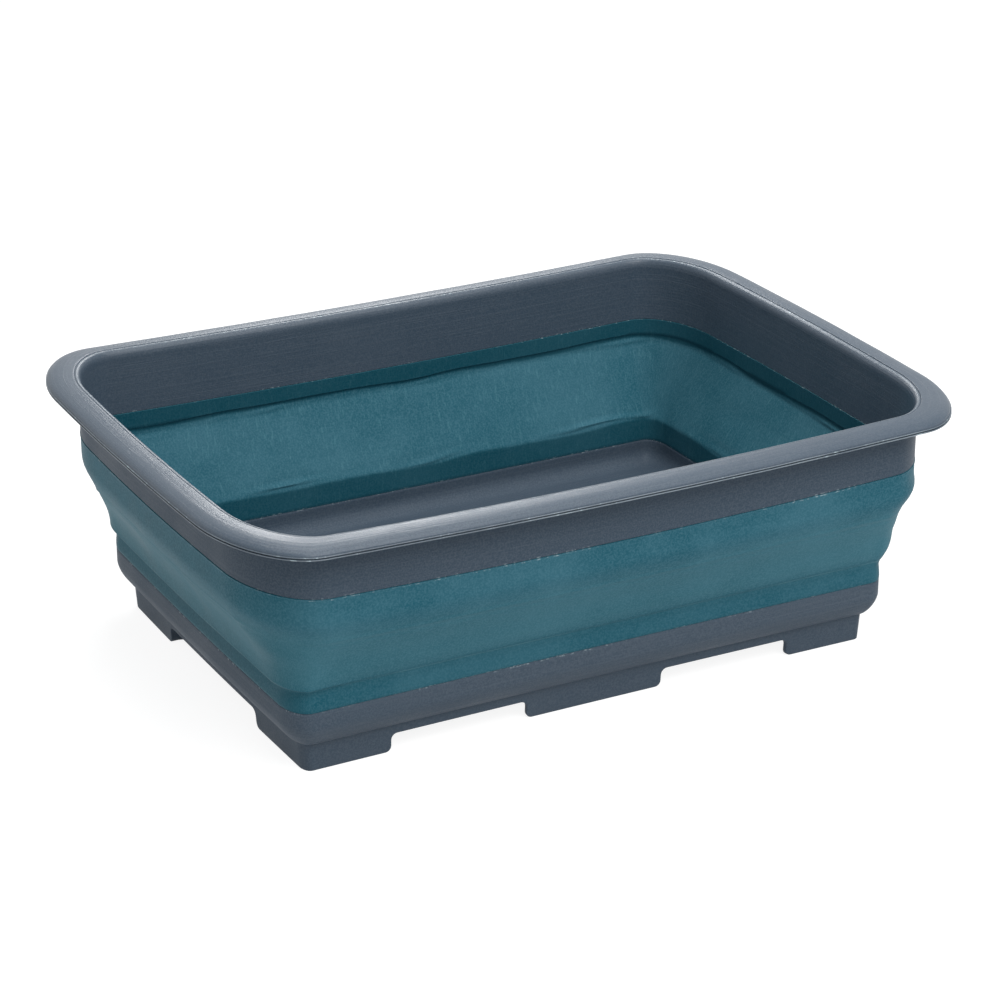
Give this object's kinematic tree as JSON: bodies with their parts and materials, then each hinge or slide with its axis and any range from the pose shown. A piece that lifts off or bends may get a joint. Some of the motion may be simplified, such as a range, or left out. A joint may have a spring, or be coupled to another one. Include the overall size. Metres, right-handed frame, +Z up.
{
  "type": "collapsible wash basin",
  "caption": "Rectangular wash basin with a stiff rim frame, a folding rubber wall and a footed base tray; the rim presses down so that the wall folds flat.",
  "frame": {"origin": "on the floor under the centre of the basin, at the bottom of the feet", "axes": "+X along the long side, +Y along the short side, +Z up out of the basin's mouth"},
  "size_m": [0.38, 0.282, 0.1257],
  "materials": {
    "slate_plastic": "satin moulded polypropylene",
    "teal_rubber": "matte thermoplastic rubber"
  },
  "bodies": {
    "base": {"base_tray": "slate_plastic", "wall_lower_band": "teal_rubber"},
    "rim": {"rim_frame": "slate_plastic", "wall_upper_band": "teal_rubber"},
    "fold_1": {"wall_fold_ring_1": "teal_rubber"},
    "fold_2": {"wall_fold_ring_2": "teal_rubber"},
    "fold_3": {"wall_fold_ring_3": "teal_rubber"},
    "fold_4": {"wall_fold_ring_4": "teal_rubber"},
    "fold_5": {"wall_fold_ring_5": "teal_rubber"},
    "fold_6": {"wall_fold_ring_6": "teal_rubber"}
  },
  "joints": [
    {"name": "rim_collapse", "type": "slide", "parent": "base", "child": "rim", "axis": [0, 0, -1], "range_m": [0, 0.072]},
    {"name": "fold_drop_1", "type": "slide", "parent": "base", "child": "fold_1", "axis": [0, 0, -1], "range_m": [0, 0.0662]},
    {"name": "fold_drop_2", "type": "slide", "parent": "base", "child": "fold_2", "axis": [0, 0, -1], "range_m": [0, 0.0542]},
    {"name": "fold_drop_3", "type": "slide", "parent": "base", "child": "fold_3", "axis": [0, 0, -1], "range_m": [0, 0.0422]},
    {"name": "fold_drop_4", "type": "slide", "parent": "base", "child": "fold_4", "axis": [0, 0, -1], "range_m": [0, 0.0302]},
    {"name": "fold_drop_5", "type": "slide", "parent": "base", "child": "fold_5", "axis": [0, 0, -1], "range_m": [0, 0.0182]},
    {"name": "fold_drop_6", "type": "slide", "parent": "base", "child": "fold_6", "axis": [0, 0, -1], "range_m": [0, 0.0062]}
  ],
  "couplings": [
    {"joint": "fold_drop_1", "follows": "rim_collapse", "ratio": 0.9167},
    {"joint": "fold_drop_2", "follows": "rim_collapse", "ratio": 0.75},
    {"joint": "fold_drop_3", "follows": "rim_collapse", "ratio": 0.5833},
    {"joint": "fold_drop_4", "follows": "rim_collapse", "ratio": 0.4167},
    {"joint": "fold_drop_5", "follows": "rim_collapse", "ratio": 0.25},
    {"joint": "fold_drop_6", "follows": "rim_collapse", "ratio": 0.0833}
  ]
}
